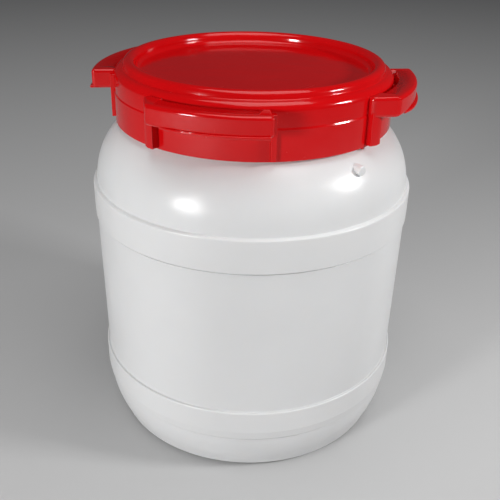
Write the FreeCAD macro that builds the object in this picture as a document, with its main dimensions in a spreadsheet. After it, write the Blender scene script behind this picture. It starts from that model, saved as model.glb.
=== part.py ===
"""Wide-neck screw-top fermenting drum: blow-moulded drum, screw lid, gasket.

Millimetres, +Z up. The origin is the centre of the drum's foot, on the floor.
The front of the drum faces -Y.
"""
import FreeCAD, Part
import math
import os
import re

import Sketcher

doc = FreeCAD.newDocument("fermenting_bucket")

# ---------------------------------------------------------------- driving sizes
SIZES = {
    # drum, from the foot up
    "foot_lift": 4,             # the middle of the base stands this far off the floor
    "foot_inner_radius": 112,
    "foot_ring_radius": 115,
    "foot_corner_radius": 6.2,
    "foot_outer_radius": 127.6,
    "heel_height": 6.5,
    "heel_curve": 79,           # radius of the curve between the foot and the wall
    "wall_start_height": 34,
    "wall_low_radius": 136.7,
    "wall_high_radius": 139,
    "wall_thickness": 2.6,
    "low_hoop_bottom": 39.5,
    "high_hoop_bottom": 203,
    "hoop_height": 29,
    "hoop_chamfer": 8.5,        # height of the sloped underside
    "hoop_round": 2.2,          # rounding of the top edge
    "low_hoop_radius": 139.3,
    "high_hoop_radius": 140.5,
    "shoulder_start": 234,
    "shoulder_radius": 137,
    "shoulder_curve": 62.5,
    # neck
    "neck_radius": 110.6,
    "neck_base": 285,
    "neck_step_low": 318,
    "neck_step_high": 321,
    "mouth_radius": 107.4,
    "neck_wall": 3.2,
    "mouth_height": 328,
    "mouth_round": 1.2,
    # thread
    "lead": 9,
    "thread_height": 297,       # where the neck's thread starts
    "thread_turns": 1.5,
    "thread_depth": 2.9,
    "thread_root_half": 2.3,
    "thread_crest_half": 1.1,
    "thread_bury": 0.6,         # how far the thread's root reaches into its wall
    "lid_thread_turns": 1.25,
    "lid_thread_depth": 3.1,
    # sealing peg on the shoulder
    "peg_radius": 4,
    "peg_height": 272.4,
    "peg_reach": 129.3,
    "peg_root": 112,
    "peg_round": 0.9,
    # lid
    "skirt_radius": 117.9,
    "skirt_upper_radius": 117.3,
    "skirt_bottom": 284.9,
    "skirt_step": 310.2,
    "skirt_wall": 3,
    "skirt_inner_round": 4,
    "lid_top": 329.3,
    "lid_round": 7,
    "bead_circle": 104.7,       # radius of the circle that the rim bead runs on
    "bead_radius": 5.4,
    "bead_height": 330,
    "dish_floor": 326.2,
    "floor_thickness": 3.2,
    "dish_fillet": 3.8,
    "plug_bottom": 318,
    "plug_inner_radius": 100.4,
    "groove_inner_radius": 103.4,
    "groove_outer_radius": 108,
    "groove_top": 331.2,
    # grip lugs on the lid
    "lug_count": 4,
    "lug_azimuth": -131.9,      # direction of the front lug's raked end, from +X
    "lug_arc": 48.4,
    "lug_rake_arc": 6.9,         # the raked end runs back over this angle
    "lug_bottom": 309,
    "lug_top": 325.1,
    "lug_radius": 136.2,
    "lug_toe_radius": 122.3,
    "lug_root_radius": 115.5,
    "lug_round": 2,
    "channel_inner_radius": 116.6,
    "channel_outer_radius": 121.4,
    "channel_floor": 313,
    "channel_start": 7.4,       # the channel runs from here, degrees
    "channel_margin": 4.5,      # to this far short of the lug's square end
    "lip_radius": 138.2,
    "lip_height": 2,
    "lip_root_radius": 131,
    "lip_start": 12.2,
    "lip_margin": 1,            # the lip stops this far short of the lug's square end, degrees
    "buttress_arc": 4.9,
    "buttress_radius": 121.4,
    "fin_arc": 1.9,
    "fin_overlap": 0.05,
    "fin_radius": 120.4,
    "fin_top": 321.5,
    "nib_azimuth": -43.3,
    "nib_arc": 1.2,
    "nib_drop": 1.3,
    "overlap": 1,               # how far an added piece reaches into what it stands on
    # gasket
    "gasket_inner_radius": 103.9,
    "gasket_outer_radius": 107.7,
    "gasket_bottom": 328.3,
    "gasket_top": 330.9,
    "gasket_round": 0.8,
}
PEG_AZIMUTH = -49               # degrees from +X, where the peg points


def make_sheet():
    """Put the driving sizes into a spreadsheet, one named cell each."""
    sheet = doc.addObject("Spreadsheet::Sheet", "sizes")
    for row, (name, value) in enumerate(SIZES.items(), start=1):
        sheet.set(f"A{row}", name)
        sheet.set(f"B{row}", str(value))
        sheet.setAlias(f"B{row}", name)
    doc.recompute()
    return sheet


sheet = make_sheet()


def bound(expression):
    """Turn plain size names in an expression into references to the sheet."""
    def refer(match):
        return f"sizes.{match[0]}" if match[0] in SIZES else match[0]

    return re.sub("[a-z_]+", refer, expression)


def value_of(expression):
    """The number that an expression of size names gives."""
    return float(sheet.evalExpression(bound(expression)))


def origin_plane(body, role):
    """One of a body's own origin planes, such as XY_Plane."""
    return next(item for item in body.Origin.OriginFeatures if item.Role == role)


def new_body(name):
    """An empty body whose label names its part file."""
    body = doc.addObject("PartDesign::Body", name)
    body.Label = name
    return body


def new_sketch(body, name, role="XZ_Plane", height="0", turn="0"):
    """A sketch on one of the body's planes, raised and turned by bound sizes."""
    sketch = body.newObject("Sketcher::SketchObject", name)
    sketch.AttachmentSupport = [(origin_plane(body, role), "")]
    sketch.MapMode = "FlatFace"
    if role == "XY_Plane":
        sketch.setExpression(".AttachmentOffset.Base.z", bound(height))
        sketch.AttachmentOffset = FreeCAD.Placement(
            FreeCAD.Vector(0, 0, value_of(height)),
            FreeCAD.Rotation(FreeCAD.Vector(0, 0, 1), value_of(turn)),
        )
    return sketch


def pin(sketch, index, position, across, up):
    """Fix one point of a sketch by its two distances from the origin."""
    for kind, axis, expression in (("DistanceX", -2, across), ("DistanceY", -1, up)):
        if expression == "0":
            sketch.addConstraint(Sketcher.Constraint("PointOnObject", index, position, axis))
            continue
        size = value_of(expression)
        number = sketch.addConstraint(Sketcher.Constraint(kind, -1, 1, index, position, size))
        sketch.setExpression(f"Constraints[{number}]", bound(expression))


def outline(sketch, steps):
    """Draw a closed outline.

    Each step is (across, up) for a straight side to the next point, or
    (across, up, radius, side) for an arc to the next point that bulges to the
    left (1) or to the right (-1) of its way there.
    """
    points = [FreeCAD.Vector(value_of(step[0]), value_of(step[1]), 0) for step in steps]
    ends = []
    for index, step in enumerate(steps):
        start = points[index]
        end = points[(index + 1) % len(points)]
        if len(step) == 2:
            sketch.addGeometry(Part.LineSegment(start, end))
            ends.append((1, 2))
            continue
        radius = value_of(step[2])
        chord = end - start
        leftward = FreeCAD.Vector(-chord.y, chord.x, 0).normalize()
        reach = math.sqrt(max(radius**2 - (chord.Length / 2) ** 2, 0))
        centre = (start + end) / 2 - leftward * reach * step[3]
        first, last = (start, end) if step[3] < 0 else (end, start)
        first_angle = math.atan2(first.y - centre.y, first.x - centre.x)
        last_angle = math.atan2(last.y - centre.y, last.x - centre.x)
        if last_angle < first_angle:
            last_angle += 2 * math.pi
        circle = Part.Circle(centre, FreeCAD.Vector(0, 0, 1), radius)
        sketch.addGeometry(Part.ArcOfCircle(circle, first_angle, last_angle))
        ends.append((1, 2) if step[3] < 0 else (2, 1))
    for index in range(len(steps)):
        following = (index + 1) % len(steps)
        joined = (index, ends[index][1], following, ends[following][0])
        sketch.addConstraint(Sketcher.Constraint("Coincident", *joined))
    for index, step in enumerate(steps):
        pin(sketch, index, ends[index][0], step[0], step[1])
        if len(step) == 4:
            number = sketch.addConstraint(Sketcher.Constraint("Radius", index, value_of(step[2])))
            sketch.setExpression(f"Constraints[{number}]", bound(step[2]))


def turned(body, kind, name, steps):
    """Turn an outline right round the vertical axis, adding it or cutting it."""
    sketch = new_sketch(body, f"{name}_outline")
    outline(sketch, steps)
    feature = body.newObject(f"PartDesign::{kind}", name)
    feature.Profile = sketch
    feature.ReferenceAxis = (sketch, ["V_Axis"])
    feature.Angle = 360
    return feature


def raised(body, name, height, turn, steps, length):
    """Raise an outline in plan by a bound length."""
    sketch = new_sketch(body, f"{name}_outline", "XY_Plane", height, turn)
    outline(sketch, steps)
    feature = body.newObject("PartDesign::Pad", name)
    feature.Profile = sketch
    feature.Length = value_of(length)
    feature.setExpression("Length", bound(length))
    return feature


def threaded(body, name, start, steps, turns):
    """Sweep a thread's section up a right-hand helix about the vertical axis."""
    sketch = new_sketch(body, f"{name}_section")
    outline(sketch, [(across, f"{start} + {up}") for across, up in steps])
    feature = body.newObject("PartDesign::AdditiveHelix", name)
    feature.Profile = sketch
    feature.ReferenceAxis = (sketch, ["V_Axis"])
    feature.Mode = "pitch-turns-angle"
    feature.Pitch = value_of("lead")
    feature.Turns = value_of(turns)
    feature.setExpression("Pitch", bound("lead"))
    feature.setExpression("Turns", bound(turns))
    return feature


# ---------------------------------------------------------------- drum
def hoop(bottom, radius, wall):
    """Outer side of one hoop, going up: sloped underside, face, rounded top."""
    return [
        (wall, bottom),
        (radius, f"{bottom} + hoop_chamfer"),
        (radius, f"{bottom} + hoop_height - hoop_round", "hoop_round", -1),
        (f"{radius} - hoop_round", f"{bottom} + hoop_height"),
    ]


def make_drum():
    """The hollow white drum with its hoops, neck, thread and sealing peg."""
    body = new_body("drum")
    taper = "( wall_high_radius - wall_low_radius ) / ( high_hoop_bottom - low_hoop_bottom )"
    turned(body, "Revolution", "drum_outside", [
        ("0", "foot_lift"),
        ("foot_inner_radius", "foot_lift"),
        ("foot_ring_radius", "0"),
        ("foot_outer_radius - foot_corner_radius", "0", "foot_corner_radius", -1),
        ("foot_outer_radius", "heel_height", "heel_curve", -1),
        ("wall_low_radius", "wall_start_height"),
        *hoop("low_hoop_bottom", "low_hoop_radius", "wall_low_radius"),
        (f"wall_low_radius + hoop_height * {taper}", "low_hoop_bottom + hoop_height"),
        *hoop("high_hoop_bottom", "high_hoop_radius", "wall_high_radius"),
        ("shoulder_radius", "shoulder_start", "shoulder_curve", -1),
        ("neck_radius", "neck_base"),
        ("neck_radius", "neck_step_low"),
        ("mouth_radius", "neck_step_high"),
        ("mouth_radius", "mouth_height - mouth_round", "mouth_round", -1),
        ("mouth_radius - mouth_round", "mouth_height"),
        ("0", "mouth_height"),
    ])
    threaded(body, "neck_thread", "thread_height", [
        ("neck_radius - thread_bury", "0 - thread_root_half"),
        ("neck_radius + thread_depth", "0 - thread_crest_half"),
        ("neck_radius + thread_depth", "thread_crest_half"),
        ("neck_radius - thread_bury", "thread_root_half"),
    ], "thread_turns")
    add_peg(body)
    turned(body, "Groove", "drum_inside", [
        ("0", "foot_lift + wall_thickness"),
        ("0", "mouth_height"),
        ("mouth_radius - neck_wall + mouth_round", "mouth_height", "mouth_round", -1),
        ("mouth_radius - neck_wall", "mouth_height - mouth_round"),
        ("mouth_radius - neck_wall", "neck_step_high - neck_wall / 2"),
        ("neck_radius - neck_wall", "neck_step_low - neck_wall / 2"),
        ("neck_radius - neck_wall", "neck_base - wall_thickness / 2",
         "shoulder_curve - wall_thickness", 1),
        ("shoulder_radius - wall_thickness", "shoulder_start"),
        ("wall_high_radius - wall_thickness", "high_hoop_bottom"),
        ("wall_low_radius - wall_thickness", "wall_start_height", "heel_curve", 1),
        ("foot_outer_radius - wall_thickness", "heel_height", "foot_corner_radius", 1),
        ("foot_outer_radius - foot_corner_radius - wall_thickness", "wall_thickness"),
        ("foot_ring_radius - wall_thickness / 2", "wall_thickness"),
        ("foot_inner_radius - wall_thickness / 2", "foot_lift + wall_thickness"),
    ])
    return body


def add_peg(body):
    """The round sealing peg, which stands out level from the drum's shoulder."""
    peg = body.newObject("PartDesign::AdditiveCylinder", "peg")
    peg.AttachmentSupport = [(origin_plane(body, "XY_Plane"), "")]
    peg.MapMode = "FlatFace"
    outward = FreeCAD.Rotation(FreeCAD.Vector(0, 0, 1), PEG_AZIMUTH)
    level = FreeCAD.Rotation(FreeCAD.Vector(0, 1, 0), 90)
    root = outward.multVec(FreeCAD.Vector(value_of("peg_root"), 0, value_of("peg_height")))
    peg.AttachmentOffset = FreeCAD.Placement(root, outward * level)
    peg.setExpression("Radius", bound("peg_radius"))
    peg.setExpression("Height", bound("peg_reach - peg_root"))
    doc.recompute()
    rounded(body, "peg_edge", "peg_round", lambda edge: (
        isinstance(edge.Curve, Part.Circle)
        and abs(edge.Curve.Radius - value_of("peg_radius")) < 1e-3
        and abs(math.hypot(edge.CenterOfMass.x, edge.CenterOfMass.y) - value_of("peg_reach")) < 1e-3
    ))


def rounded(body, name, radius, wanted):
    """Round every edge of the body so far that the test picks out."""
    base = body.Tip
    edges = [f"Edge{n}" for n, edge in enumerate(base.Shape.Edges, start=1) if wanted(edge)]
    feature = body.newObject("PartDesign::Fillet", name)
    feature.Base = (base, edges)
    feature.Radius = value_of(radius)
    feature.setExpression("Radius", bound(radius))
    return feature


# ---------------------------------------------------------------- lid
def polar(radius, angle):
    """A point in plan as a pair of bound distances, from a radius and an angle."""
    if angle == "0":
        return radius, "0"
    return f"( {radius} ) * cos( {angle} )", f"( {radius} ) * sin( {angle} )"


def sector(inner, outer, first, last):
    """Outline in plan of a piece of a ring between two angles."""
    return [
        polar(inner, first),
        (*polar(outer, first), outer, -1),
        polar(outer, last),
        (*polar(inner, last), inner, 1),
    ]


def make_lid():
    """The red screw lid: dished top, rim bead, skirt, thread and four grip lugs."""
    body = new_body("screw_lid")
    inner = "skirt_upper_radius - skirt_wall"
    under = "lid_top - skirt_wall"
    turned(body, "Revolution", "lid_shell", [
        (inner, "skirt_bottom"),
        ("skirt_radius", "skirt_bottom"),
        ("skirt_radius", "skirt_step - ( skirt_radius - skirt_upper_radius )"),
        ("skirt_upper_radius", "skirt_step"),
        ("skirt_upper_radius", "lid_top - lid_round", "lid_round", -1),
        ("skirt_upper_radius - lid_round", "lid_top"),
        ("bead_circle + sqrt( bead_radius ^ 2 - ( bead_height - lid_top ) ^ 2 )", "lid_top",
         "bead_radius", -1),
        ("bead_circle", "bead_height + bead_radius", "bead_radius", -1),
        ("bead_circle - bead_radius", "dish_floor + dish_fillet", "dish_fillet", 1),
        ("bead_circle - bead_radius - dish_fillet", "dish_floor"),
        ("0", "dish_floor"),
        ("0", "dish_floor - floor_thickness"),
        ("plug_inner_radius", "dish_floor - floor_thickness"),
        ("plug_inner_radius", "plug_bottom"),
        ("groove_inner_radius", "plug_bottom"),
        ("groove_inner_radius", "groove_top"),
        ("groove_outer_radius", "groove_top"),
        ("groove_outer_radius", under),
        (f"{inner} - skirt_inner_round", under, "skirt_inner_round", 1),
        (inner, f"{under} - skirt_inner_round"),
    ])
    threaded(body, "lid_thread", "thread_height - lead / 2", [
        (f"{inner} + thread_bury", "thread_root_half"),
        (f"{inner} - lid_thread_depth", "thread_crest_half"),
        (f"{inner} - lid_thread_depth", "0 - thread_crest_half"),
        (f"{inner} + thread_bury", "0 - thread_root_half"),
    ], "lid_thread_turns")
    add_lugs(body)
    raised(body, "nib", "skirt_bottom - nib_drop", "nib_azimuth", sector(
        "lug_root_radius", "skirt_upper_radius", "0", "nib_arc"
    ), "nib_drop + overlap")
    return body


def add_lugs(body):
    """Four grip lugs round the skirt, each with a channel, a lip, a fin and a buttress."""
    lug = raised(body, "lug", "lug_bottom", "lug_azimuth", [
        ("lug_root_radius", "0"),
        ("lug_toe_radius", "0"),
        (*polar("lug_radius", "lug_rake_arc"), "lug_radius", -1),
        polar("lug_radius", "lug_arc"),
        (*polar("lug_root_radius", "lug_arc"), "lug_root_radius", 1),
    ], "lug_top - lug_bottom")
    lip = raised(body, "lug_lip", "lug_bottom", "lug_azimuth", sector(
        "lip_root_radius", "lip_radius", "lip_start", "lug_arc - lip_margin"
    ), "lip_height")
    buttress = raised(body, "buttress", "skirt_bottom", "lug_azimuth", sector(
        "lug_root_radius", "buttress_radius", "0", "buttress_arc"
    ), "lug_bottom - skirt_bottom + overlap")
    fin = raised(body, "fin", "skirt_bottom", "lug_azimuth", sector(
        "lug_root_radius", "fin_radius", "lug_arc - fin_overlap", "lug_arc + fin_arc"
    ), "fin_top - skirt_bottom")
    channel_sketch = new_sketch(body, "channel_outline", "XY_Plane", "lug_top", "lug_azimuth")
    outline(channel_sketch, sector(
        "channel_inner_radius", "channel_outer_radius",
        "channel_start", "lug_arc - channel_margin"
    ))
    channel = body.newObject("PartDesign::Pocket", "channel")
    channel.Profile = channel_sketch
    channel.Length = value_of("lug_top - channel_floor")
    channel.setExpression("Length", bound("lug_top - channel_floor"))
    pattern = body.newObject("PartDesign::PolarPattern", "lug_ring")
    pattern.Originals = [lug, lip, buttress, fin, channel]
    pattern.Axis = (origin_plane(body, "Z_Axis"), [""])
    pattern.Angle = 360
    pattern.Occurrences = SIZES["lug_count"]
    body.Tip = pattern
    doc.recompute()
    rounded(body, "lug_edges", "lug_round", lambda edge: (
        math.hypot(edge.CenterOfMass.x, edge.CenterOfMass.y) > value_of("lug_toe_radius") + 0.5
        and edge.CenterOfMass.z > value_of("( lug_top + lug_bottom ) / 2 - 1")
    ))


# ---------------------------------------------------------------- gasket
def make_gasket():
    """The sealing ring in the groove under the lid's rim."""
    body = new_body("gasket")
    turned(body, "Revolution", "gasket_ring", [
        ("gasket_inner_radius + gasket_round", "gasket_bottom"),
        ("gasket_outer_radius - gasket_round", "gasket_bottom", "gasket_round", -1),
        ("gasket_outer_radius", "gasket_bottom + gasket_round"),
        ("gasket_outer_radius", "gasket_top - gasket_round", "gasket_round", -1),
        ("gasket_outer_radius - gasket_round", "gasket_top"),
        ("gasket_inner_radius + gasket_round", "gasket_top", "gasket_round", -1),
        ("gasket_inner_radius", "gasket_top - gasket_round"),
        ("gasket_inner_radius", "gasket_bottom + gasket_round", "gasket_round", -1),
    ])
    return body


# ---------------------------------------------------------------- build and write
bodies = [make_drum(), make_lid(), make_gasket()]
doc.recompute()

for item in doc.Objects:
    if "Invalid" in item.State or "Error" in item.State:
        raise RuntimeError(f"{item.Name} failed: {item.State}")

os.makedirs("parts", exist_ok=True)
for body in bodies:
    shape = body.Shape
    if shape.isNull() or not shape.isValid() or len(shape.Solids) != 1:
        raise RuntimeError(f"{body.Label} is not one valid solid")
    shape.exportStep(f"parts/{body.Label}.step")
    box = shape.BoundBox
    print(f"{body.Label}: {shape.Volume / 1000:.0f} cm3, z {box.ZMin:.1f} to {box.ZMax:.1f}")
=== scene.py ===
# %% [markdown]
# # A wide-neck screw-top fermenting bucket
#
# The real object is three moulded things: a white drum blown from one tube of plastic,
# a red screw lid pressed out of one shot of plastic, and a rubber ring that seals them.
# This lesson makes each one from the outline that a mould maker would draw, lights it
# like a plain studio shot, and gives each plastic the faults that its process leaves.

# %% Load the frame
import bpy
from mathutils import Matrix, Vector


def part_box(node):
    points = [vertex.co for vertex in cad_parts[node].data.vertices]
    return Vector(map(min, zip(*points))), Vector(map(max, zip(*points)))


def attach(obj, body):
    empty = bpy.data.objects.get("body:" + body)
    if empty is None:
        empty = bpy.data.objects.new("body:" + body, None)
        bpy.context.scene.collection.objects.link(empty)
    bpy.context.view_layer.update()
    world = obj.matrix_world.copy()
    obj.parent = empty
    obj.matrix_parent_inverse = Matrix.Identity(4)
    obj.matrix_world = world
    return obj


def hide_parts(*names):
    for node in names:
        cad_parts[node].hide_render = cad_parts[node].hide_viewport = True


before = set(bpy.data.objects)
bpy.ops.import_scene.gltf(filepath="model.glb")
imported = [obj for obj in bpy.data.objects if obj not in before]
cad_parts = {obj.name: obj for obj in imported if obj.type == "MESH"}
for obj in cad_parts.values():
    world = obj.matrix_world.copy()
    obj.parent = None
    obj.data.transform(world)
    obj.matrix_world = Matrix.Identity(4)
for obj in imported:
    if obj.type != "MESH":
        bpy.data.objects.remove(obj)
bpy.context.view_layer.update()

# %% [markdown]
# ## One unit for the whole bucket
# Every size below is written as the millimetres that a ruler would show on the drum.
# The frame says how high the mouth stands, so one number turns rulers into metres.
# That is safer than typing metres, because the scene follows the frame if it is resized.

# %% Modules and the unit
import math

import bmesh
import bpy
from mathutils import Matrix, Vector

MOUTH_HEIGHT = 328
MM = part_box("drum")[1][2] / MOUTH_HEIGHT
print("one millimetre is", round(MM, 6), "m")

# %% [markdown]
# ## Camera
# The bucket is seen from in front and above, close enough for its wall to narrow
# towards the foot. A real camera was held by hand, so it also leans by about a degree.
# Pitch and lean are turned about the camera's own axes, which keeps them independent.

# %% Camera
EYE_DISTANCE = 624.4 * MM
EYE_HEIGHT = 476.6 * MM
LOOKING_DOWN = 27.49
LEAN = 1.31
LENS = 53.02

camera_data = bpy.data.cameras.new("camera")
camera_data.lens = LENS
camera_data.sensor_width = 36
camera = bpy.data.objects.new("camera", camera_data)
bpy.context.scene.collection.objects.link(camera)
pitch = Matrix.Rotation(math.radians(90 - LOOKING_DOWN), 4, "X")
lean = Matrix.Rotation(math.radians(LEAN), 4, "Z")
camera.matrix_world = Matrix.Translation((0, -EYE_DISTANCE, EYE_HEIGHT)) @ pitch @ lean
bpy.context.scene.camera = camera

# %% [markdown]
# ## Studio
# Two softboxes stand low, one each side of the camera, and a wide panel hangs above.
# Small, low boxes leave the short bright marks that show how round the rim is, and they
# graze the white wall, so that it keeps its shape. The panel lights the lid's dish and
# the floor. The surround is dim, because a glossy dish mirrors whatever is behind it.

# %% Lights, floor and surround
def softbox(name, around, above, distance, size, power, target_height):
    """A lamp behind cloth, at an angle round the bucket and an angle above its target."""
    light_data = bpy.data.lights.new(name, "AREA")
    light_data.shape = "RECTANGLE"
    light_data.size = size[0]
    light_data.size_y = size[1]
    light_data.energy = power
    target = Vector((0, 0, target_height))
    way = Vector((
        math.cos(math.radians(above)) * math.sin(math.radians(around)),
        -math.cos(math.radians(above)) * math.cos(math.radians(around)),
        math.sin(math.radians(above)),
    ))
    light = bpy.data.objects.new(name, light_data)
    light.location = target + way * distance
    light.rotation_euler = (-way).to_track_quat("-Z", "Y").to_euler()
    bpy.context.scene.collection.objects.link(light)


softbox("key_right", around=72, above=19, distance=0.9, size=(0.17, 0.12), power=4.6,
        target_height=0.31)
softbox("fill_left", around=-42, above=6, distance=1.6, size=(0.26, 0.22), power=13.5,
        target_height=0.30)
softbox("panel_above", around=30, above=82, distance=2.6, size=(2.2, 2.2), power=36,
        target_height=0.3)

SURROUND_COLOUR = (0.93, 0.95, 1.0, 1)
SURROUND_STRENGTH = 0.04
world = bpy.data.worlds.new("surround")
world.use_nodes = True
background = world.node_tree.nodes["Background"]
background.inputs["Color"].default_value = SURROUND_COLOUR
background.inputs["Strength"].default_value = SURROUND_STRENGTH
bpy.context.scene.world = world
bpy.context.scene.view_settings.view_transform = "Standard"

FLOOR_REACH = 9.0
floor_mesh = bpy.data.meshes.new("floor")
floor_mesh.from_pydata(
    [(-FLOOR_REACH, -FLOOR_REACH, 0), (FLOOR_REACH, -FLOOR_REACH, 0),
     (FLOOR_REACH, FLOOR_REACH, 0), (-FLOOR_REACH, FLOOR_REACH, 0)], [], [(0, 1, 2, 3)])
floor = bpy.data.objects.new("floor", floor_mesh)
bpy.context.scene.collection.objects.link(floor)
floor_paint = bpy.data.materials.new("floor_paint")
floor_paint.use_nodes = True
floor_shader = floor_paint.node_tree.nodes["Principled BSDF"]
floor_shader.inputs["Base Color"].default_value = (0.57, 0.57, 0.57, 1)
floor_shader.inputs["Roughness"].default_value = 0.75
floor_mesh.materials.append(floor_paint)

# %% [markdown]
# ## Node trees in a few words
# Trees of nodes are easiest to read when each line adds one node and says what feeds
# it. This small helper does that, for shapes and for surfaces alike.

# %% A helper for node trees
def add_node(tree, kind, settings=(), **feeds):
    """Add a node. Settings are attributes; feeds are sockets by name, or _0, _1 by place."""
    node = tree.nodes.new(kind)
    for key, value in dict(settings).items():
        setattr(node, key, value)
    for key, value in feeds.items():
        socket = node.inputs[int(key[1:])] if key.startswith("_") else node.inputs[key.replace("_", " ")]
        if isinstance(value, bpy.types.NodeSocket):
            tree.links.new(value, socket)
        else:
            socket.default_value = value
    return node


def reckon(tree, operation, *feeds):
    """Add one step of arithmetic and give its answer."""
    places = {f"_{place}": value for place, value in enumerate(feeds)}
    return add_node(tree, "ShaderNodeMath", {"operation": operation}, **places).outputs[0]


# %% [markdown]
# ## Plastics
# Both plastics left a mould, and both show it: a fine grain where the mould was
# polished, and slow waves where the wall shrank as it cooled. One group of nodes makes
# that relief for both, with its own depth each time. A picture of a surface could do
# it too, but nodes hold up at any distance and need no file.

# %% The relief that a mould leaves
def make_mould_relief():
    """Height over a moulded surface: slow shrink waves plus fine grain."""
    tree = bpy.data.node_groups.new("mould_relief", "ShaderNodeTree")
    for name, start in (("Wave size", 0.03), ("Grain size", 0.0012), ("Grain share", 0.1)):
        socket = tree.interface.new_socket(name, in_out="INPUT", socket_type="NodeSocketFloat")
        socket.default_value = start
    tree.interface.new_socket("Height", in_out="OUTPUT", socket_type="NodeSocketFloat")
    given = add_node(tree, "NodeGroupInput")
    place = add_node(tree, "ShaderNodeTexCoord").outputs["Object"]
    wave = add_node(tree, "ShaderNodeTexNoise", Vector=place, Detail=1.5, Roughness=0.45,
                    Scale=reckon(tree, "DIVIDE", 1.0, given.outputs["Wave size"]))
    grain = add_node(tree, "ShaderNodeTexNoise", Vector=place, Detail=2.0,
                     Scale=reckon(tree, "DIVIDE", 1.0, given.outputs["Grain size"]))
    fine = reckon(tree, "MULTIPLY", grain.outputs[0], given.outputs["Grain share"])
    total = reckon(tree, "ADD", wave.outputs[0], fine)
    done = add_node(tree, "NodeGroupOutput")
    tree.links.new(total, done.inputs["Height"])
    return tree


mould_relief = make_mould_relief()


# %% [markdown]
# Handling leaves hair-thin scuffs, all roughly one way, on any plastic that is wiped
# clean. Noise stretched to long threads makes them, and only its peaks are kept.

# %% Hair-thin scuffs
def make_scuffs():
    """A mask of long thin scuffs that run across the surface at an angle."""
    tree = bpy.data.node_groups.new("scuffs", "ShaderNodeTree")
    for name, start in (("Angle", 0.6), ("Spacing", 0.004), ("Amount", 0.5)):
        socket = tree.interface.new_socket(name, in_out="INPUT", socket_type="NodeSocketFloat")
        socket.default_value = start
    tree.interface.new_socket("Mask", in_out="OUTPUT", socket_type="NodeSocketFloat")
    given = add_node(tree, "NodeGroupInput")
    place = add_node(tree, "ShaderNodeTexCoord").outputs["Object"]
    turned = add_node(tree, "ShaderNodeVectorRotate", {"rotation_type": "Z_AXIS"},
                      Vector=place, Angle=given.outputs["Angle"])
    stretched = add_node(tree, "ShaderNodeVectorMath", {"operation": "MULTIPLY"},
                         _0=turned.outputs[0], _1=(1.0, 0.04, 1.0))
    closeness = reckon(tree, "DIVIDE", 1.0, given.outputs["Spacing"])
    threads = add_node(tree, "ShaderNodeTexNoise", Vector=stretched.outputs[0], Detail=3.0,
                       Roughness=0.7, Scale=closeness)
    patches = add_node(tree, "ShaderNodeTexNoise", Vector=place, Scale=22.0, Detail=1.0)
    peaks = add_node(tree, "ShaderNodeMapRange", {"clamp": True}, Value=threads.outputs[0],
                     From_Min=0.66, From_Max=0.72)
    areas = add_node(tree, "ShaderNodeMapRange", {"clamp": True}, Value=patches.outputs[0],
                     From_Min=0.5, From_Max=0.62)
    both = reckon(tree, "MULTIPLY", peaks.outputs[0], areas.outputs[0])
    total = reckon(tree, "MULTIPLY", both, given.outputs["Amount"])
    done = add_node(tree, "NodeGroupOutput")
    tree.links.new(total, done.inputs["Mask"])
    return tree


scuffs = make_scuffs()


# %% [markdown]
# The drum is a milky plastic that light enters a little, so shadows on it are soft
# and its shine is broad. The lid is denser and polished, so it mirrors the lamps.
# The seal is black rubber. Each keeps its own shader; only relief and masks are shared.

# %% Materials
def surface(name, **constants):
    """A material whose shader has these constants on its own sockets."""
    material = bpy.data.materials.new(name)
    material.use_nodes = True
    shader = material.node_tree.nodes["Principled BSDF"]
    for key, value in constants.items():
        shader.inputs[key.replace("_", " ")].default_value = value
    return material, material.node_tree, shader


def place_group(tree, group, **values):
    """Place a shared group in a material's tree."""
    node = add_node(tree, "ShaderNodeGroup", {"node_tree": group})
    for key, value in values.items():
        node.inputs[key.replace("_", " ")].default_value = value
    return node.outputs[0]


def relief(tree, shader, depth, height):
    """Press a height into the surface, as deep as the depth in metres."""
    bump = add_node(tree, "ShaderNodeBump", Distance=depth, Height=height)
    tree.links.new(bump.outputs["Normal"], shader.inputs["Normal"])


def tint(tree, shader, dark, light, amount):
    """Colour that drifts between two tints over the surface."""
    mix = add_node(tree, "ShaderNodeMix", {"data_type": "RGBA"})
    tree.links.new(amount, mix.inputs["Factor"])
    mix.inputs[6].default_value = (*dark, 1)
    mix.inputs[7].default_value = (*light, 1)
    tree.links.new(mix.outputs[2], shader.inputs["Base Color"])


def make_white_plastic():
    """Milky blow-moulded plastic with a broad shine and a faint parting line."""
    material, tree, shader = surface(
        "white_plastic", Subsurface_Weight=0.25, Subsurface_Radius=(1.0, 0.9, 0.8),
        Subsurface_Scale=4 * MM, IOR=1.5)
    place = add_node(tree, "ShaderNodeTexCoord").outputs["Object"]
    clouds = add_node(tree, "ShaderNodeTexNoise", Vector=place, Scale=16.0, Detail=2.0)
    tint(tree, shader, (0.80, 0.80, 0.80), (0.86, 0.86, 0.86), clouds.outputs[0])
    marks = place_group(tree, scuffs, Angle=1.2, Spacing=5 * MM, Amount=0.08)
    rough = add_node(tree, "ShaderNodeMapRange", Value=clouds.outputs[0], To_Min=0.26, To_Max=0.34)
    tree.links.new(reckon(tree, "ADD", rough.outputs[0], marks), shader.inputs["Roughness"])
    height = place_group(tree, mould_relief, Wave_size=34 * MM, Grain_size=0.9 * MM, Grain_share=0.035)
    depth_axis = add_node(tree, "ShaderNodeSeparateXYZ", Vector=place).outputs["Y"]
    off_line = reckon(tree, "ABSOLUTE", depth_axis)
    parting = add_node(tree, "ShaderNodeMapRange", {"clamp": True}, Value=off_line,
                       From_Min=0.2 * MM, From_Max=0.7 * MM, To_Min=0.25, To_Max=0.0)
    relief(tree, shader, 1.0 * MM, reckon(tree, "ADD", height, parting.outputs[0]))
    return material


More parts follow.
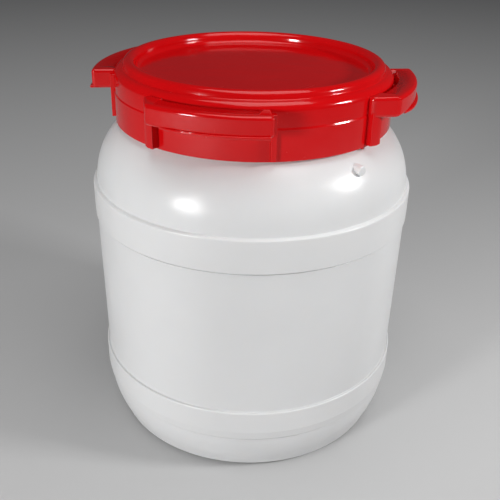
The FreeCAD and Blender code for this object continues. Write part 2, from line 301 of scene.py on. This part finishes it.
def make_red_plastic():
    """Dense red plastic from a polished mould, with hair-thin scuffs."""
    material, tree, shader = surface("red_plastic", IOR=1.5, Specular_IOR_Level=0.45)
    place = add_node(tree, "ShaderNodeTexCoord").outputs["Object"]
    clouds = add_node(tree, "ShaderNodeTexNoise", Vector=place, Scale=20.0, Detail=2.0)
    tint(tree, shader, (0.62, 0.0022, 0.0038), (0.69, 0.0032, 0.0050), clouds.outputs[0])
    marks = place_group(tree, scuffs, Angle=0.75, Spacing=3.2 * MM, Amount=0.28)
    rough = add_node(tree, "ShaderNodeMapRange", Value=clouds.outputs[0], To_Min=0.09, To_Max=0.13)
    tree.links.new(reckon(tree, "ADD", rough.outputs[0], marks), shader.inputs["Roughness"])
    height = place_group(tree, mould_relief, Wave_size=22 * MM, Grain_size=0.8 * MM, Grain_share=0.02)
    relief(tree, shader, 0.35 * MM, height)
    return material


def make_black_rubber():
    """Satin black rubber with a fine even grain."""
    material, tree, shader = surface("black_rubber", Specular_IOR_Level=0.4)
    grain = place_group(tree, mould_relief, Wave_size=8 * MM, Grain_size=0.4 * MM, Grain_share=0.6)
    tint(tree, shader, (0.012, 0.012, 0.012), (0.028, 0.028, 0.028), grain)
    rough = add_node(tree, "ShaderNodeMapRange", Value=grain, To_Min=0.5, To_Max=0.62)
    tree.links.new(rough.outputs[0], shader.inputs["Roughness"])
    relief(tree, shader, 0.15 * MM, grain)
    return material


white_plastic = make_white_plastic()
red_plastic = make_red_plastic()
black_rubber = make_black_rubber()

# %% [markdown]
# ## Outlines
# A turned shape needs only its outline on one side of the axis. Corners are written as
# (out, up, rounding), and every rounding becomes a short arc, because no moulded edge
# is sharp and it is the arc that catches light. Two guard points sit just outside each
# arc, so that the smooth shading of the arc doesn't leak over the flat wall beside it.

# %% Outline helpers
GUARD = 0.35


def bow(start, end, radius, steps, side=-1):
    """Corners along an arc; it bulges to the right of its way, or to the left if side is 1."""
    a, b = Vector(start), Vector(end)
    across = b - a
    leftward = Vector((-across.y, across.x)).normalized()
    centre = (a + b) / 2 - leftward * side * math.sqrt(radius**2 - (across.length / 2) ** 2)
    first, turn = a - centre, (a - centre).angle_signed(b - centre)
    points = [centre + Matrix.Rotation(-turn * step / steps, 2) @ first for step in range(steps + 1)]
    return [(point.x, point.y, 0) for point in points]


def soften(corners, steps=5):
    """Turn corners with roundings into the points of a smooth outline."""
    points = []
    last = len(corners) - 1
    for index, (out, up, rounding) in enumerate(corners):
        here = Vector((out, up))
        if rounding == 0 or index in (0, last):
            points.append(here)
            continue
        before = Vector(corners[index - 1][:2]) - here
        after = Vector(corners[index + 1][:2]) - here
        half = before.angle(after) / 2
        cut = min(rounding / math.tan(half), before.length * 0.48, after.length * 0.48)
        radius = cut * math.tan(half)
        middle = (before.normalized() + after.normalized()).normalized()
        centre = here + middle * radius / math.sin(half)
        start, end = here + before.normalized() * cut, here + after.normalized() * cut
        turn = (start - centre).angle_signed(end - centre)
        if before.length - cut > 2 * GUARD:
            points.append(start + before.normalized() * GUARD)
        for step in range(steps + 1):
            points.append(centre + Matrix.Rotation(-turn * step / steps, 2) @ (start - centre))
        if after.length - cut > 2 * GUARD:
            points.append(end + after.normalized() * GUARD)
    return points


def outline_object(name, points, closed=False):
    """A chain of edges in the upright plane that holds the axis, in metres."""
    mesh = bpy.data.meshes.new(name)
    if closed:
        points = [*points, points[0]]
    places = [(point[0] * MM, 0, point[1] * MM) for point in points]
    mesh.from_pydata(places, [(n, n + 1) for n in range(len(places) - 1)], [])
    shape = bpy.data.objects.new(name, mesh)
    bpy.context.scene.collection.objects.link(shape)
    return shape


# %% [markdown]
# ## A lathe made of nodes
# The drum, the lid, the seal and both threads all follow one rule: an outline goes
# round the axis. The Spin tool could do it, but a thread also climbs as it goes round,
# and fades out at its ends. So this tree lays the outline over a grid, one row for each
# step round, and works out where each point of the grid goes.

# %% The lathe
WELD = 0.002


def make_lathe():
    """Geometry nodes that carry an outline round the axis, with an optional climb and fade."""
    tree = bpy.data.node_groups.new("lathe", "GeometryNodeTree")
    face = tree.interface
    face.new_socket("Outline", in_out="INPUT", socket_type="NodeSocketGeometry")
    for name, kind in (("Steps", "Int"), ("Turns", "Float"), ("Start", "Float"), ("Lead", "Float"),
                       ("Fade", "Float"), ("Root", "Vector"), ("Finish", "Material")):
        face.new_socket(name, in_out="INPUT", socket_type=f"NodeSocket{kind}")
    face.new_socket("Shape", in_out="OUTPUT", socket_type="NodeSocketGeometry")
    given = add_node(tree, "NodeGroupInput").outputs
    count = add_node(tree, "GeometryNodeAttributeDomainSize", {"component": "MESH"},
                     Geometry=given["Outline"]).outputs["Point Count"]
    rows = reckon(tree, "ADD", given["Steps"], 1.0)
    grid = add_node(tree, "GeometryNodeMeshGrid", Vertices_X=rows, Vertices_Y=count)
    number = add_node(tree, "GeometryNodeInputIndex").outputs[0]
    along = reckon(tree, "FLOORED_MODULO", number, count)
    row = reckon(tree, "FLOOR", reckon(tree, "DIVIDE", reckon(tree, "ADD", number, 0.5), count))
    share = reckon(tree, "DIVIDE", row, given["Steps"])
    position = add_node(tree, "GeometryNodeInputPosition").outputs[0]
    place = add_node(tree, "GeometryNodeSampleIndex", {"data_type": "FLOAT_VECTOR"},
                     Geometry=given["Outline"], Index=along)
    tree.links.new(position, place.inputs["Value"])
    turns_done = reckon(tree, "MULTIPLY", share, given["Turns"])
    turns_left = reckon(tree, "SUBTRACT", given["Turns"], turns_done)
    nearest_end = reckon(tree, "MINIMUM", turns_done, turns_left)
    faded = add_node(tree, "ShaderNodeMapRange", {"interpolation_type": "SMOOTHSTEP"},
                     Value=nearest_end, From_Max=given["Fade"]).outputs[0]
    has_fade = reckon(tree, "GREATER_THAN", given["Fade"], 0.0)
    full = reckon(tree, "SUBTRACT", 1.0, has_fade)
    strength = reckon(tree, "MAXIMUM", faded, full)
    offset = add_node(tree, "ShaderNodeVectorMath", {"operation": "SUBTRACT"},
                      _0=place.outputs[0], _1=given["Root"]).outputs[0]
    shrunk = add_node(tree, "ShaderNodeVectorMath", {"operation": "SCALE"},
                      _0=offset, Scale=strength).outputs[0]
    section = add_node(tree, "ShaderNodeVectorMath", {"operation": "ADD"},
                       _0=shrunk, _1=given["Root"]).outputs[0]
    parts = add_node(tree, "ShaderNodeSeparateXYZ", Vector=section).outputs
    turn = reckon(tree, "ADD", reckon(tree, "MULTIPLY", turns_done, math.tau), given["Start"])
    climb = reckon(tree, "MULTIPLY", turns_done, given["Lead"])
    spot = add_node(tree, "ShaderNodeCombineXYZ",
                    X=reckon(tree, "MULTIPLY", parts["X"], reckon(tree, "COSINE", turn)),
                    Y=reckon(tree, "MULTIPLY", parts["X"], reckon(tree, "SINE", turn)),
                    Z=reckon(tree, "ADD", parts["Z"], climb)).outputs[0]
    placed = add_node(tree, "GeometryNodeSetPosition", Geometry=grid.outputs["Mesh"], Position=spot)
    merged = add_node(tree, "GeometryNodeMergeByDistance", Geometry=placed.outputs[0],
                      Distance=WELD * MM)
    smooth = add_node(tree, "GeometryNodeSetShadeSmooth", Geometry=merged.outputs[0])
    whole = add_node(tree, "GeometryNodeRealizeInstances", Geometry=smooth.outputs[0])
    finished = add_node(tree, "GeometryNodeSetMaterial", Geometry=whole.outputs[0],
                        Material=given["Finish"])
    done = add_node(tree, "NodeGroupOutput")
    tree.links.new(finished.outputs[0], done.inputs["Shape"])
    return tree


lathe = make_lathe()


def run_tree(shape, tree, **values):
    """Run a tree on an object, keep the result as its plain mesh, and face it outwards."""
    modifier = shape.modifiers.new("nodes", "NODES")
    modifier.node_group = tree
    for item in tree.interface.items_tree:
        name = item.name.replace(" ", "_")
        if item.in_out == "INPUT" and name in values:
            modifier[item.identifier] = values[name]
    bpy.context.view_layer.update()
    seen = shape.evaluated_get(bpy.context.evaluated_depsgraph_get())
    mesh = bpy.data.meshes.new_from_object(seen)
    shape.modifiers.remove(modifier)
    shape.data = mesh
    made = bmesh.new()
    made.from_mesh(mesh)
    bmesh.ops.dissolve_degenerate(made, dist=0.001 * MM, edges=made.edges)
    bmesh.ops.recalc_face_normals(made, faces=made.faces)
    open_edges = sum(not edge.is_manifold for edge in made.edges)
    if made.calc_volume(signed=True) < 0:
        bmesh.ops.reverse_faces(made, faces=made.faces)
    made.to_mesh(mesh)
    made.free()
    print(shape.name, "faces:", len(mesh.polygons), "open edges:", open_edges)
    return shape


def turn_outline(name, corners, finish, steps=256, closed=False, rounding_steps=5):
    """A plain turned piece from its corners."""
    shape = outline_object(name, soften(corners, rounding_steps), closed)
    return run_tree(shape, lathe, Steps=steps, Turns=1.0, Finish=finish)


# %% [markdown]
# ## Drum
# A drum is blown inside a two-part mould, so its wall is one even skin: the inside
# repeats the outside one wall thickness in. The foot is a ring with the middle pushed
# up, the two hoops are shallow steps that stiffen the wall, each with a narrow crease
# under it, and the shoulder is one large arc up to the neck. Turning one closed outline
# gives all of that in one piece.

# %% Drum outline
WALL = 2.6
NECK_WALL = 3.2
FOOT_LIFT = 4
FOOT_INSIDE = 112
FOOT_RING = 115
NECK_RADIUS = 110.6
MOUTH_RADIUS = 107.4
SHOULDER_START = (137.0, 233.6)
SHOULDER_END = (NECK_RADIUS, 285)
SHOULDER_CURVE = 62.5
HEEL_START = (127.6, 6.5)
HEEL_END = (136.7, 34)
HEEL_CURVE = 79
FOOT_CURVE = 6.2


def hoop(bottom, wall_below, radius, wall_above):
    """Corners of one hoop, going up: crease, undercut, sloped side, face, rounded top, ledge."""
    height, slope, undercut, crease = 29, 8.5, 1.3, 1.7
    return [
        (wall_below, bottom - 0.8, 0.2),
        (wall_below - crease, bottom - 0.5, 0.1),
        (wall_below - crease, bottom + 0.2, 0.1),
        (wall_below + undercut, bottom + 0.7, 0.3),
        (radius, bottom + slope, 4),
        (radius, bottom + height, 1.5),
        (wall_above, bottom + height + 0.5, 0.9),
    ]


drum_outside = [
    (0, FOOT_LIFT, 0),
    (FOOT_INSIDE, FOOT_LIFT, 1.5),
    (FOOT_RING, 0, 1.2),
    *bow((HEEL_START[0] - FOOT_CURVE, 0), HEEL_START, FOOT_CURVE, 6),
    *bow(HEEL_START, HEEL_END, HEEL_CURVE, 10)[1:],
    *hoop(bottom=39.5, wall_below=136.8, radius=139.3, wall_above=137.15),
    *hoop(bottom=203, wall_below=139, radius=140.5, wall_above=137.0),
    *bow(SHOULDER_START, SHOULDER_END, SHOULDER_CURVE, 18),
    (NECK_RADIUS, 318, 0.8),
    (MOUTH_RADIUS, 321, 0.8),
    (MOUTH_RADIUS, MOUTH_HEIGHT, 1.2),
]
drum_inside = [
    (MOUTH_RADIUS - NECK_WALL, MOUTH_HEIGHT, 1.2),
    (MOUTH_RADIUS - NECK_WALL, 319.4, 1.5),
    (NECK_RADIUS - NECK_WALL, 316.4, 1.5),
    *bow((SHOULDER_END[0] - NECK_WALL, 283.7), (SHOULDER_START[0] - WALL, 234),
         SHOULDER_CURVE - WALL, 18, side=1),
    (139 - WALL, 203, 3),
    *bow((HEEL_END[0] - WALL, HEEL_END[1]), (HEEL_START[0] - WALL, HEEL_START[1]),
         HEEL_CURVE, 10, side=1),
    (HEEL_START[0] - WALL - FOOT_CURVE / 2, WALL, 3),
    (FOOT_RING - WALL / 2, WALL, 1),
    (FOOT_INSIDE - WALL / 2, FOOT_LIFT + WALL, 1.5),
    (0, FOOT_LIFT + WALL, 0),
]
drum_shell = turn_outline("drum_shell", drum_outside + drum_inside, white_plastic)

# %% [markdown]
# ### Peg and neck thread
# A small round peg stands out of the shoulder, where a seal can be tied. It is level,
# while the shoulder slopes, so its root is buried. The neck's thread is a low rounded
# ridge that climbs nine millimetres a turn and fades into the neck at both ends.

# %% Peg and neck thread
PEG_AZIMUTH = -49
PEG_HEIGHT = 272.4
LEAD = 9
THREAD_START = 297
NECK_THREAD_DEPTH = 2.9
NECK_THREAD_TURNS = 1.5


def make_peg():
    """The peg: an outline turned about its own axis, then laid level and pointed out."""
    radius, root, tip = 4, 118, 129.3
    corners = [(0, 0, 0), (radius, 0, 0.3), (radius, tip - root, 0.9), (0, tip - root, 0)]
    peg = turn_outline("peg", corners, white_plastic, steps=48)
    outward = Matrix.Rotation(math.radians(PEG_AZIMUTH), 4, "Z")
    level = Matrix.Rotation(math.radians(90), 4, "Y")
    peg.data.transform(outward @ Matrix.Translation((root * MM, 0, PEG_HEIGHT * MM)) @ level)
    return peg


def make_thread(name, root, crest, turns, height, finish):
    """A thread ridge from its root radius to its crest, fading out at both ends."""
    way = 1 if crest > root else -1
    buried = root - way * 0.6
    corners = [(buried, -2.3, 0), (crest, -1.1, 0.7), (crest, 1.1, 0.7), (buried, 2.3, 0)]
    shape = outline_object(name, soften(corners, 4), closed=True)
    run_tree(shape, lathe, Steps=int(200 * turns), Turns=turns, Lead=LEAD * MM, Fade=0.06,
             Root=(buried * MM, 0, 0), Finish=finish)
    shape.data.transform(Matrix.Translation((0, 0, height * MM)))
    return shape


peg = make_peg()
neck_thread = make_thread("neck_thread", NECK_RADIUS, NECK_RADIUS + NECK_THREAD_DEPTH,
                          NECK_THREAD_TURNS, THREAD_START, white_plastic)

# %% [markdown]
# ## Lid
# The lid's outline holds everything that goes all the way round: the plain skirt with
# its small step, the rounded shoulder, the fat rim bead with its nearly flat side, the
# dish inside it, and below them the plug that enters the neck and the seal's groove.

# %% Lid outline
SKIRT_RADIUS = 117.9
SKIRT_UPPER = 117.3
SKIRT_BOTTOM = 284.9
SKIRT_INSIDE = 114.3
LID_TOP = 329.3
LID_ROUND = 7
BEAD_CIRCLE = 104.7
BEAD_RADIUS = 5.4
BEAD_HEIGHT = 330
BEAD_FOOT = (110.3, LID_TOP)
BEAD_SIDE = (109.25, 333)
BEAD_SIDE_CURVE = 40
BEAD_CROWN = 5.51
BEAD_TOP = (BEAD_CIRCLE, BEAD_HEIGHT + BEAD_RADIUS)
BEAD_INSIDE = (BEAD_CIRCLE - BEAD_RADIUS, BEAD_HEIGHT)
DISH_FLOOR = 326.2
DISH_FILLET = 3.8
DISH_EDGE = BEAD_CIRCLE - BEAD_RADIUS - DISH_FILLET
DISH_WALL = 3.2
PLUG_INSIDE = 100.4
PLUG_OUTSIDE = 103.4
PLUG_BOTTOM = 318
GROOVE_TOP = 331.2
GROOVE_OUTSIDE = 108
ROOF_UNDERSIDE = 326.3
STEP_BOTTOM = 309.4
STEP_TOP = 310.6
LID_THREAD_DEPTH = 3.1
LID_THREAD_TURNS = 1.25
lid_corners = [
    (0, DISH_FLOOR - DISH_WALL, 0),
    (PLUG_INSIDE, DISH_FLOOR - DISH_WALL, 1.5),
    (PLUG_INSIDE, PLUG_BOTTOM, 0.6),
    (PLUG_OUTSIDE, PLUG_BOTTOM, 0.6),
    (PLUG_OUTSIDE, GROOVE_TOP, 0.3),
    (GROOVE_OUTSIDE, GROOVE_TOP, 0.3),
    (GROOVE_OUTSIDE, ROOF_UNDERSIDE, 0.5),
    (SKIRT_INSIDE, ROOF_UNDERSIDE, 4),
    (SKIRT_INSIDE, SKIRT_BOTTOM, 0.8),
    (SKIRT_RADIUS, SKIRT_BOTTOM, 0.9),
    (SKIRT_RADIUS, STEP_BOTTOM, 0.6),
    (SKIRT_UPPER, STEP_TOP, 0.6),
    *bow((SKIRT_UPPER, LID_TOP - LID_ROUND), (SKIRT_UPPER - LID_ROUND, LID_TOP), LID_ROUND, 10),
    *bow(BEAD_FOOT, BEAD_SIDE, BEAD_SIDE_CURVE, 4),
    *bow(BEAD_SIDE, BEAD_TOP, BEAD_CROWN, 8)[1:],
    *bow(BEAD_TOP, BEAD_INSIDE, BEAD_RADIUS, 9)[1:],
    *bow(BEAD_INSIDE, (DISH_EDGE, DISH_FLOOR), DISH_FILLET, 8, side=1)[1:],
    (DISH_EDGE - 1, DISH_FLOOR, 0),
    (0, DISH_FLOOR, 0),
]
lid_shell = turn_outline("lid_shell", lid_corners, red_plastic, steps=288)
lid_thread = make_thread("lid_thread", SKIRT_INSIDE, SKIRT_INSIDE - LID_THREAD_DEPTH,
                         LID_THREAD_TURNS, THREAD_START - LEAD / 2, red_plastic)

# %% [markdown]
# ### Grip lugs
# Four lugs stand round the skirt for the hands. Each is a bar that follows the skirt,
# cut off square at one end and raked at the other, with a channel between bar and lid
# that saves plastic. The bar is built station by station along its arc, because its
# outer face moves in along the rake. Its edges are rounded while it is still solid,
# and the channel is cut out last, so that the rounding meets nothing narrow.

# %% One lug
LUG_BOTTOM = 309
LUG_TOP = 325.1
LUG_RADIUS = 136.2
LUG_ROOT = 115.8
LUG_ARC = 48.4
RAKE_ARC = 6.9
RAKE_RADIUS = 122.3
CHANNEL_INSIDE = 116.6
CHANNEL_OUTSIDE = 121.4
CHANNEL_FLOOR = 313
CHANNEL_START = 7.4
CHANNEL_END = 43.9
LUG_ROUND = 2.9
LIP_START = 12.2
LIP_ROOT = 131
LIP_TOP = 311
LIP_GROWTH_ARC = 9
LIP_REACH = 2.4
LIP_OVERLAP = 0.4
BUTTRESS_RADIUS = 124.6
BUTTRESS_ARC = 4.9
FIN_RADIUS = 120.8
FIN_TOP = 321.5
FIN_ARC = 1.9
NIB_ARC = (-43.3, -42.1)


def on_arc(radius, angle, height):
    """A point in metres from a radius, an angle in degrees and a height."""
    turn = math.radians(angle)
    return Vector((radius * math.cos(turn), radius * math.sin(turn), height)) * MM


def loft(name, rings, finish):
    """A closed piece from rings of points, one ring for each station, with flat ends."""
    made = bmesh.new()
    rows = [[made.verts.new(point) for point in ring] for ring in rings]
    for near, far in zip(rows, rows[1:]):
        for n in range(len(near)):
            following = (n + 1) % len(near)
            made.faces.new((near[n], near[following], far[following], far[n]))
    made.faces.new(rows[0])
    made.faces.new(rows[-1])
    bmesh.ops.remove_doubles(made, verts=made.verts, dist=0.01 * MM)
    bmesh.ops.dissolve_degenerate(made, dist=0.01 * MM, edges=made.edges)
    bmesh.ops.recalc_face_normals(made, faces=made.faces)
    mesh = bpy.data.meshes.new(name)
    made.to_mesh(mesh)
    made.free()
    mesh.materials.append(finish)
    shape = bpy.data.objects.new(name, mesh)
    bpy.context.scene.collection.objects.link(shape)
    return shape


def apply_modifiers(shape):
    """Keep an object's finished look as its plain mesh."""
    bpy.context.view_layer.update()
    seen = shape.evaluated_get(bpy.context.evaluated_depsgraph_get())
    mesh = bpy.data.meshes.new_from_object(seen)
    shape.modifiers.clear()
    shape.data = mesh


def round_edges(shape, width, segments=3):
    """Round the edges of a piece that turn by more than 30 degrees."""
    bevel = shape.modifiers.new("rounding", "BEVEL")
    bevel.width = width * MM
    bevel.segments = segments
    bevel.limit_method = "ANGLE"
    bevel.angle_limit = math.radians(30)
    bevel.harden_normals = True
    shape.data.polygons.foreach_set("use_smooth", [True] * len(shape.data.polygons))
    apply_modifiers(shape)


def stations(first, last, step):
    """Angles from first to last, about a step apart, with one on the corner of the rake."""
    stops = [first, *([RAKE_ARC] if first < RAKE_ARC < last - step else []), last]
    angles = [first]
    for near, far in zip(stops, stops[1:]):
        count = max(1, round((far - near) / step))
        angles += [near + (far - near) * n / count for n in range(1, count + 1)]
    return angles


def outer_radius(angle):
    """How far the lug reaches at an angle: less along its raked end."""
    start = on_arc(RAKE_RADIUS, 0, 0) / MM
    end = on_arc(LUG_RADIUS, RAKE_ARC, 0) / MM
    if angle >= RAKE_ARC:
        return LUG_RADIUS
    ray = on_arc(1, angle, 0) / MM
    side = end - start
    return (start.x * side.y - start.y * side.x) / (ray.x * side.y - ray.y * side.x)


def bar_ring(inner, outer, bottom, top, angle):
    """Points round a plain bar at one station."""
    return [on_arc(inner, angle, bottom), on_arc(outer, angle, bottom),
            on_arc(outer, angle, top), on_arc(inner, angle, top)]


def make_bar(name, inner, outer, bottom, top, first, last, width, segments=3):
    """A bar that follows the skirt, with its edges rounded; outer may depend on the angle."""
    reach = outer if callable(outer) else lambda angle: outer
    rings = [bar_ring(inner, reach(angle), bottom, top, angle) for angle in stations(first, last, 2.4)]
    bar = loft(name, rings, red_plastic)
    round_edges(bar, width, segments)
    return bar


def make_lug():
    """One lug: a solid bar with rounded edges, then the channel cut down into it."""
    lug_bar = make_bar("lug", LUG_ROOT, outer_radius, LUG_BOTTOM, LUG_TOP, 0, LUG_ARC, LUG_ROUND, 5)
    cutter = make_bar("cutter", CHANNEL_INSIDE, CHANNEL_OUTSIDE, CHANNEL_FLOOR, LUG_TOP + 5,
                      CHANNEL_START, CHANNEL_END, 0.6)
    cut = lug_bar.modifiers.new("channel", "BOOLEAN")
    cut.operation = "DIFFERENCE"
    cut.solver = "EXACT"
    cut.object = cutter
    apply_modifiers(lug_bar)
    bpy.data.objects.remove(cutter)
    return lug_bar


def lip_radius(angle):
    """The lip grows out of the lug's face over its first stretch."""
    grown = min(1, (angle - LIP_START) / LIP_GROWTH_ARC)
    return LUG_RADIUS - LIP_OVERLAP + LIP_REACH * grown * (2 - grown)


def buttress_radius(angle):
    """The buttress carries the raked end down to the foot of the skirt."""
    return min(outer_radius(angle), BUTTRESS_RADIUS)


lug = make_lug()
lip = make_bar("lug_lip", LIP_ROOT, lip_radius, LUG_BOTTOM - 0.1, LIP_TOP, LIP_START, LUG_ARC - 1, 0.7)
buttress = make_bar("buttress", LUG_ROOT, buttress_radius, SKIRT_BOTTOM + 1.6, LUG_BOTTOM + 4,
                    0.1, BUTTRESS_ARC, 0.5)
fin = make_bar("fin", LUG_ROOT, FIN_RADIUS, SKIRT_BOTTOM + 1.2, FIN_TOP,
               LUG_ARC - 0.1, LUG_ARC + FIN_ARC, 0.5)

# %% [markdown]
# The other three lugs are turned copies, so nodes place them: four points round a
# circle, an instance of the lug on each, turned to face out. Copies made by hand would
# do, but a tree keeps the number of lugs as one value. A single small nib hangs from the
# skirt's foot, and it is made once, in place.

# %% Four lugs round the lid
def make_ring_of():
    """Geometry nodes that repeat a shape round the axis."""
    tree = bpy.data.node_groups.new("ring_of_lugs", "GeometryNodeTree")
    face = tree.interface
    face.new_socket("Lug", in_out="INPUT", socket_type="NodeSocketGeometry")
    for name, kind in (("Count", "Int"), ("Start", "Float"), ("Finish", "Material")):
        face.new_socket(name, in_out="INPUT", socket_type=f"NodeSocket{kind}")
    face.new_socket("Ring", in_out="OUTPUT", socket_type="NodeSocketGeometry")
    given = add_node(tree, "NodeGroupInput").outputs
    centres = add_node(tree, "GeometryNodeMeshLine", Count=given["Count"], Offset=(0, 0, 0)).outputs[0]
    number = add_node(tree, "GeometryNodeInputIndex").outputs[0]
    part = reckon(tree, "DIVIDE", reckon(tree, "MULTIPLY", number, math.tau), given["Count"])
    around = reckon(tree, "ADD", part, given["Start"])
    facing = add_node(tree, "ShaderNodeCombineXYZ", Z=around).outputs[0]
    rotation = add_node(tree, "FunctionNodeEulerToRotation", _0=facing).outputs[0]
    copies = add_node(tree, "GeometryNodeInstanceOnPoints", Points=centres, Instance=given["Lug"],
                      Rotation=rotation)
    whole = add_node(tree, "GeometryNodeRealizeInstances", Geometry=copies.outputs[0])
    finished = add_node(tree, "GeometryNodeSetMaterial", Geometry=whole.outputs[0],
                        Material=given["Finish"])
    done = add_node(tree, "NodeGroupOutput")
    tree.links.new(finished.outputs[0], done.inputs["Ring"])
    return tree


LUG_COUNT = 4
LUG_AZIMUTH = -131.9
ring_of_lugs = make_ring_of()
lug_pieces = [lug, lip, buttress, fin]
for piece in lug_pieces:
    run_tree(piece, ring_of_lugs, Count=LUG_COUNT, Start=math.radians(LUG_AZIMUTH), Finish=red_plastic)
nib = make_bar("nib", LUG_ROOT, SKIRT_UPPER, SKIRT_BOTTOM - 1.3, SKIRT_BOTTOM + 1, *NIB_ARC, 0.25)

# %% [markdown]
# ## Seal
# The rubber ring hides in the lid's groove and rises with the lid.

# %% Gasket
def make_gasket():
    """The seal's rounded section, turned about the axis."""
    centre = Vector((105.8, 329.6))
    half = Vector((1.9, 1.3))
    soft_corner = 0.8
    points = []
    for quarter in range(4):
        corner = Vector(((1, 1), (-1, 1), (-1, -1), (1, -1))[quarter])
        middle = centre + Vector((corner.x * (half.x - soft_corner), corner.y * (half.y - soft_corner)))
        for step in range(6):
            turn = math.pi / 2 * (quarter + step / 5)
            points.append(middle + Vector((math.cos(turn), math.sin(turn))) * soft_corner)
    shape = outline_object("gasket_ring", points, closed=True)
    return run_tree(shape, lathe, Steps=192, Turns=1.0, Finish=black_rubber)


gasket_ring = make_gasket()

# %% [markdown]
# ## Put the pieces on the frame
# Each piece rides on the body that carries it, so that unscrewing the lid takes its
# lugs and thread along. The three shells stand for the three plain parts of the frame.

# %% Ride
riders = {
    "drum_body": (drum_shell, peg, neck_thread),
    "gasket_body": (gasket_ring,),
    "lid_body": (lid_shell, lid_thread, lug, lip, buttress, fin, nib),
}
for body, pieces in riders.items():
    for piece in pieces:
        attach(piece, body)
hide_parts("drum")
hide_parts("gasket")
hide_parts("screw_lid")
